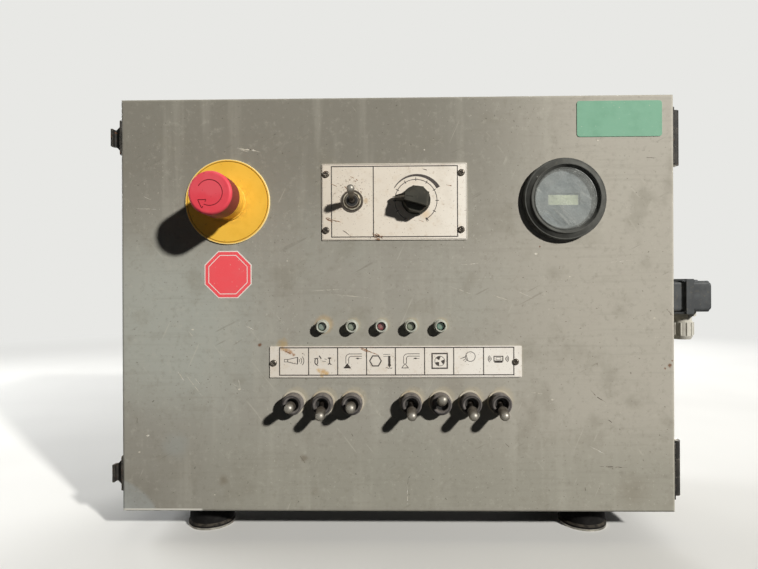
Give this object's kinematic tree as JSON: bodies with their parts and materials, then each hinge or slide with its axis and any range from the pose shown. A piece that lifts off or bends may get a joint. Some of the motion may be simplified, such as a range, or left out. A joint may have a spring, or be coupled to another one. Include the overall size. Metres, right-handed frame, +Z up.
{
  "type": "machine control box",
  "caption": "Sheet-steel control box on rubber feet, with a hinged door that carries a stop button, a dial, an hour meter, lamps and lever switches.",
  "frame": {"origin": "middle of the four feet's bolt holes, on the surface that the feet stand on", "axes": "+X to the right of someone facing the door, -Y out of the door's face, +Z up"},
  "size_m": [0.6406, 0.2555, 0.453],
  "materials": {
    "grey_paint": "aged satin",
    "plated_steel": "dull zinc",
    "rubber": "matte",
    "black_metal": "worn black",
    "latch_wire": "dull zinc",
    "yellow_plastic": "satin",
    "red_plastic": "faded satin",
    "black_plastic": "matte",
    "label_metal": "aged lacquer",
    "lever_chrome": "worn",
    "meter_black": "satin",
    "meter_face": "matte",
    "clear_cover": "clear",
    "bezel_metal": "dull",
    "lens": "translucent",
    "grey_plastic": "matte",
    "rail_steel": "zinc",
    "connector_metal": "powder coat",
    "gland_plastic": "matte"
  },
  "bodies": {
    "enclosure": {"back_wall": "grey_paint", "left_wall": "grey_paint", "right_wall": "grey_paint", "top_wall": "grey_paint", "bottom_wall": "grey_paint", "foot_rubbers": "rubber", "foot_discs": "plated_steel", "foot_studs": "plated_steel", "foot_nuts": "plated_steel", "hinge_leaves_box": "black_metal", "hinge_pins": "plated_steel", "latch_bases": "black_metal", "mounting_plate": "rail_steel", "standoffs": "rail_steel", "din_rail": "rail_steel", "terminal_row": "grey_plastic", "relays": "grey_plastic", "connector_base": "connector_metal", "connector_hood": "connector_metal", "connector_gland": "gland_plastic"},
    "door": {"door_pan": "grey_paint", "door_seal": "rubber", "hinge_leaves_door": "black_metal", "latch_keepers": "black_metal", "estop_plate": "yellow_plastic", "estop_collar": "yellow_plastic", "estop_block": "black_plastic", "selector_plate": "label_metal", "selector_nut": "plated_steel", "dial_pot": "bezel_metal", "meter_rim": "meter_black", "meter_can": "meter_black", "meter_dial": "meter_face", "meter_glass": "clear_cover", "lamp_bezels": "bezel_metal", "lamp_lenses": "lens", "lamp_bodies": "black_plastic", "label_strip": "label_metal", "switch_bodies": "black_plastic", "switch_washers": "plated_steel", "switch_boots": "rubber"},
    "stop_stem": {"estop_stem": "black_plastic"},
    "stop_head": {"estop_head": "red_plastic"},
    "dial": {"dial_knob": "black_plastic"},
    "selector": {"selector_lever": "lever_chrome"},
    "switch_1": {"switch_lever_1": "lever_chrome"},
    "switch_2": {"switch_lever_2": "lever_chrome"},
    "switch_3": {"switch_lever_3": "lever_chrome"},
    "switch_4": {"switch_lever_4": "lever_chrome"},
    "switch_5": {"switch_lever_5": "lever_chrome"},
    "switch_6": {"switch_lever_6": "lever_chrome"},
    "switch_7": {"switch_lever_7": "lever_chrome"},
    "lever_upper": {"latch_lever_upper": "black_metal"},
    "bail_upper": {"latch_bail_upper": "latch_wire"},
    "lever_lower": {"latch_lever_lower": "black_metal"},
    "bail_lower": {"latch_bail_lower": "latch_wire"}
  },
  "joints": [
    {"name": "door_swing", "type": "hinge", "parent": "enclosure", "child": "door", "pos_m": [0.2913, -0.0905, 0.2405], "axis": [0, 0, 1], "range_deg": [0, 110]},
    {"name": "stop_press", "type": "slide", "parent": "door", "child": "stop_stem", "axis": [0, 1, 0], "range_m": [0, 0.0045]},
    {"name": "stop_twist", "type": "hinge", "parent": "stop_stem", "child": "stop_head", "pos_m": [-0.172, -0.154, 0.3465], "axis": [0, 1, 0], "range_deg": [0, 45]},
    {"name": "dial_turn", "type": "hinge", "parent": "door", "child": "dial", "pos_m": [0.021, -0.119, 0.3465], "axis": [0, 1, 0], "range_deg": [-67, 233]},
    {"name": "selector_flip", "type": "hinge", "parent": "door", "child": "selector", "pos_m": [-0.044, -0.113, 0.3465], "axis": [1, 0, 0], "range_deg": [0, 40]},
    {"name": "switch_1_flip", "type": "hinge", "parent": "door", "child": "switch_1", "pos_m": [-0.105, -0.113, 0.1405], "axis": [1, 0, 0], "range_deg": [-20, 20]},
    {"name": "switch_2_flip", "type": "hinge", "parent": "door", "child": "switch_2", "pos_m": [-0.075, -0.113, 0.1405], "axis": [1, 0, 0], "range_deg": [-40, 0]},
    {"name": "switch_3_flip", "type": "hinge", "parent": "door", "child": "switch_3", "pos_m": [-0.045, -0.113, 0.1405], "axis": [1, 0, 0], "range_deg": [-20, 20]},
    {"name": "switch_4_flip", "type": "hinge", "parent": "door", "child": "switch_4", "pos_m": [0.015, -0.113, 0.1405], "axis": [1, 0, 0], "range_deg": [-40, 0]},
    {"name": "switch_5_flip", "type": "hinge", "parent": "door", "child": "switch_5", "pos_m": [0.045, -0.113, 0.1405], "axis": [1, 0, 0], "range_deg": [0, 40]},
    {"name": "switch_6_flip", "type": "hinge", "parent": "door", "child": "switch_6", "pos_m": [0.075, -0.113, 0.1405], "axis": [1, 0, 0], "range_deg": [-40, 0]},
    {"name": "switch_7_flip", "type": "hinge", "parent": "door", "child": "switch_7", "pos_m": [0.105, -0.113, 0.1405], "axis": [1, 0, 0], "range_deg": [-40, 0]},
    {"name": "latch_upper_turn", "type": "hinge", "parent": "enclosure", "child": "lever_upper", "pos_m": [-0.2894, -0.07, 0.4145], "axis": [0, 0, 1], "range_deg": [0, 140]},
    {"name": "bail_upper_turn", "type": "hinge", "parent": "lever_upper", "child": "bail_upper", "pos_m": [-0.2876, -0.059, 0.4145], "axis": [0, 0, -1], "range_deg": [-165, 0]},
    {"name": "latch_lower_turn", "type": "hinge", "parent": "enclosure", "child": "lever_lower", "pos_m": [-0.2894, -0.07, 0.0665], "axis": [0, 0, 1], "range_deg": [0, 140]},
    {"name": "bail_lower_turn", "type": "hinge", "parent": "lever_lower", "child": "bail_lower", "pos_m": [-0.2876, -0.059, 0.0665], "axis": [0, 0, -1], "range_deg": [-165, 0]}
  ]
}
